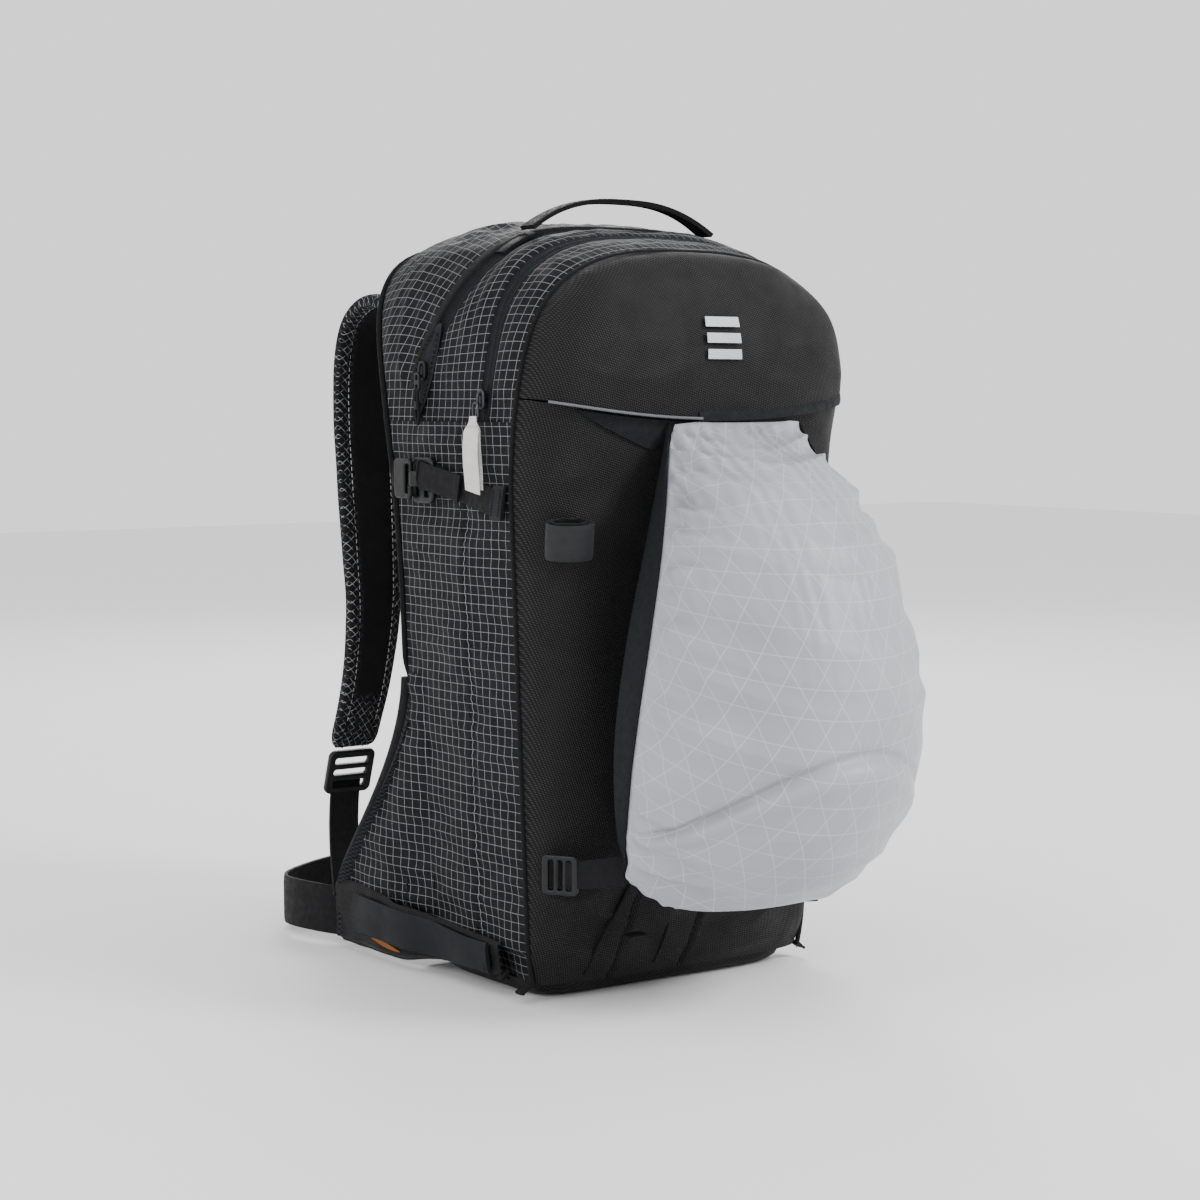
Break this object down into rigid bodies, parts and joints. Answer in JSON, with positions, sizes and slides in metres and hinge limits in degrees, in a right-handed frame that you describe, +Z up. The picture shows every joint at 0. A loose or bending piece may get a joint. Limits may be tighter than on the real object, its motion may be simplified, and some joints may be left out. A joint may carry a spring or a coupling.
{
  "type": "avalanche airbag backpack",
  "caption": "Ski-touring avalanche airbag backpack with a helmet sling on its outer face, side hooks, shoulder harness and hip belt.",
  "frame": {"origin": "centre of the base panel's flat underside", "axes": "+Z up, -Y towards the outer face with the helmet sling, +Y towards the wearer"},
  "size_m": [0.3166, 0.604, 0.582],
  "materials": {
    "ripstop": "woven blue-black nylon with a thin light grid",
    "ballistic": "black diagonal-weave nylon",
    "slate_tape": "woven slate zipper tape and binding",
    "webbing": "black woven webbing",
    "sling_cloth": "thin silver-grey coated ripstop with a triangle grid",
    "foam_mesh": "black mesh over foam",
    "acetal": "moulded black acetal",
    "keeper_rubber": "slate coated strap",
    "pull_tab": "light woven pull tab",
    "steel": "plain steel",
    "aluminium": "anodised bar",
    "board": "stiff plastic sheet",
    "airbag_cloth": "coated orange nylon",
    "unit_plastic": "moulded housing",
    "trigger_plastic": "moulded orange grip"
  },
  "bodies": {
    "root": {"base_panel": "ballistic", "side_panel_left": "ripstop", "side_panel_right": "ripstop", "top_gusset_front": "ripstop", "top_gusset_middle": "ripstop", "top_gusset_rear": "ripstop", "front_zipper_tape": "slate_tape", "main_zipper_tape": "slate_tape", "front_panel_lower": "ballistic", "front_panel_upper": "ballistic", "back_panel": "foam_mesh", "frame_sheet": "board", "frame_stay": "aluminium", "divider_panel": "ripstop", "folded_airbag": "airbag_cloth", "fan_housing": "unit_plastic", "fan_motor": "steel", "air_duct": "acetal", "battery_pack": "unit_plastic", "control_unit": "unit_plastic", "side_strap_left": "webbing", "side_strap_right": "webbing", "side_buckle_left": "acetal", "side_buckle_right": "acetal", "tool_strap_keeper": "keeper_rubber", "sling_strap_left": "webbing", "sling_strap_right": "webbing", "sling_buckle_left": "acetal", "sling_buckle_right": "acetal"},
    "impeller": {"impeller": "acetal"},
    "power_button": {"power_button": "trigger_plastic"},
    "haul_handle": {"haul_handle": "webbing"},
    "main_zipper_slider": {"main_zipper_slider": "acetal"},
    "main_zipper_pull": {"main_zipper_pull": "webbing"},
    "front_zipper_slider": {"front_zipper_slider": "steel"},
    "front_zipper_ring": {"front_zipper_ring": "steel", "front_zipper_tab": "pull_tab"},
    "side_hook_left": {"side_hook_left": "acetal"},
    "side_hook_right": {"side_hook_right": "acetal"},
    "sling": {"helmet_sling": "sling_cloth", "sling_binding_left": "slate_tape", "sling_binding_right": "slate_tape"},
    "harness": {"shoulder_strap_left": "foam_mesh", "shoulder_strap_right": "foam_mesh", "shoulder_buckle_left": "acetal", "shoulder_buckle_right": "acetal", "shoulder_webbing_left": "webbing", "shoulder_webbing_right": "webbing"},
    "sternum": {"sternum_strap_left": "webbing", "sternum_strap_right": "webbing", "sternum_buckle_female": "acetal", "sternum_buckle_male": "acetal"},
    "trigger": {"trigger_handle": "trigger_plastic"},
    "hip_left": {"hip_wing_left": "ripstop", "hip_webbing_left": "webbing", "hip_buckle_female": "acetal"},
    "hip_right": {"hip_wing_right": "ripstop", "hip_webbing_right": "webbing", "hip_buckle_male": "acetal"}
  },
  "joints": [
    {"name": "impeller_spin", "type": "hinge", "parent": "root", "child": "impeller", "pos_m": [0, 0.024, 0.372], "axis": [0, 1, 0], "continuous": true},
    {"name": "power_button_press", "type": "slide", "parent": "root", "child": "power_button", "axis": [0, 1, 0], "range_m": [0, 0.002], "stiffness_N_per_m": 400},
    {"name": "haul_handle_fold", "type": "hinge", "parent": "root", "child": "haul_handle", "pos_m": [0, -0.006, 0.557], "axis": [1, 0, 0], "range_deg": [-15, 30], "stiffness_Nm_per_rad": 0.04},
    {"name": "main_zipper_slide", "type": "slide", "parent": "root", "child": "main_zipper_slider", "axis": [0.0703, -0.4886, 0.8697], "range_m": [0, 0.025]},
    {"name": "main_zipper_pull_swing", "type": "hinge", "parent": "main_zipper_slider", "child": "main_zipper_pull", "pos_m": [-0.1496, 0.0368, 0.4505], "axis": [0, 1, 0], "range_deg": [0, 90]},
    {"name": "front_zipper_slide", "type": "slide", "parent": "root", "child": "front_zipper_slider", "axis": [0.0528, -0.1561, 0.9863], "range_m": [0, 0.03]},
    {"name": "front_zipper_pull_swing", "type": "hinge", "parent": "front_zipper_slider", "child": "front_zipper_ring", "pos_m": [-0.15, -0.0422, 0.4295], "axis": [0, 1, 0], "range_deg": [0, 90]},
    {"name": "side_hook_left_swing", "type": "hinge", "parent": "root", "child": "side_hook_left", "pos_m": [-0.1524, 0.062, 0.373], "axis": [0, 0, -1], "range_deg": [0, 100]},
    {"name": "side_hook_right_swing", "type": "hinge", "parent": "root", "child": "side_hook_right", "pos_m": [0.1524, 0.062, 0.373], "axis": [0, 0, 1], "range_deg": [0, 100]},
    {"name": "sling_lift", "type": "hinge", "parent": "root", "child": "sling", "pos_m": [0, -0.121, 0.414], "axis": [-1, 0, 0], "range_deg": [0, 40]},
    {"name": "harness_swing", "type": "hinge", "parent": "root", "child": "harness", "pos_m": [0, 0.1218, 0.5095], "axis": [1, 0, 0], "range_deg": [0, 25]},
    {"name": "sternum_height", "type": "slide", "parent": "harness", "child": "sternum", "axis": [0, 0.12, 0.9928], "range_m": [-0.03, 0.02]},
    {"name": "trigger_pull", "type": "slide", "parent": "harness", "child": "trigger", "axis": [0, 0, -1], "range_m": [0, 0.04]},
    {"name": "hip_left_swing", "type": "hinge", "parent": "root", "child": "hip_left", "pos_m": [-0.1382, 0.0785, 0.05], "axis": [0, 0, 1], "range_deg": [0, 45], "stiffness_Nm_per_rad": 0.4},
    {"name": "hip_right_swing", "type": "hinge", "parent": "root", "child": "hip_right", "pos_m": [0.1382, 0.0785, 0.05], "axis": [0, 0, -1], "range_deg": [0, 45], "stiffness_Nm_per_rad": 0.4}
  ]
}
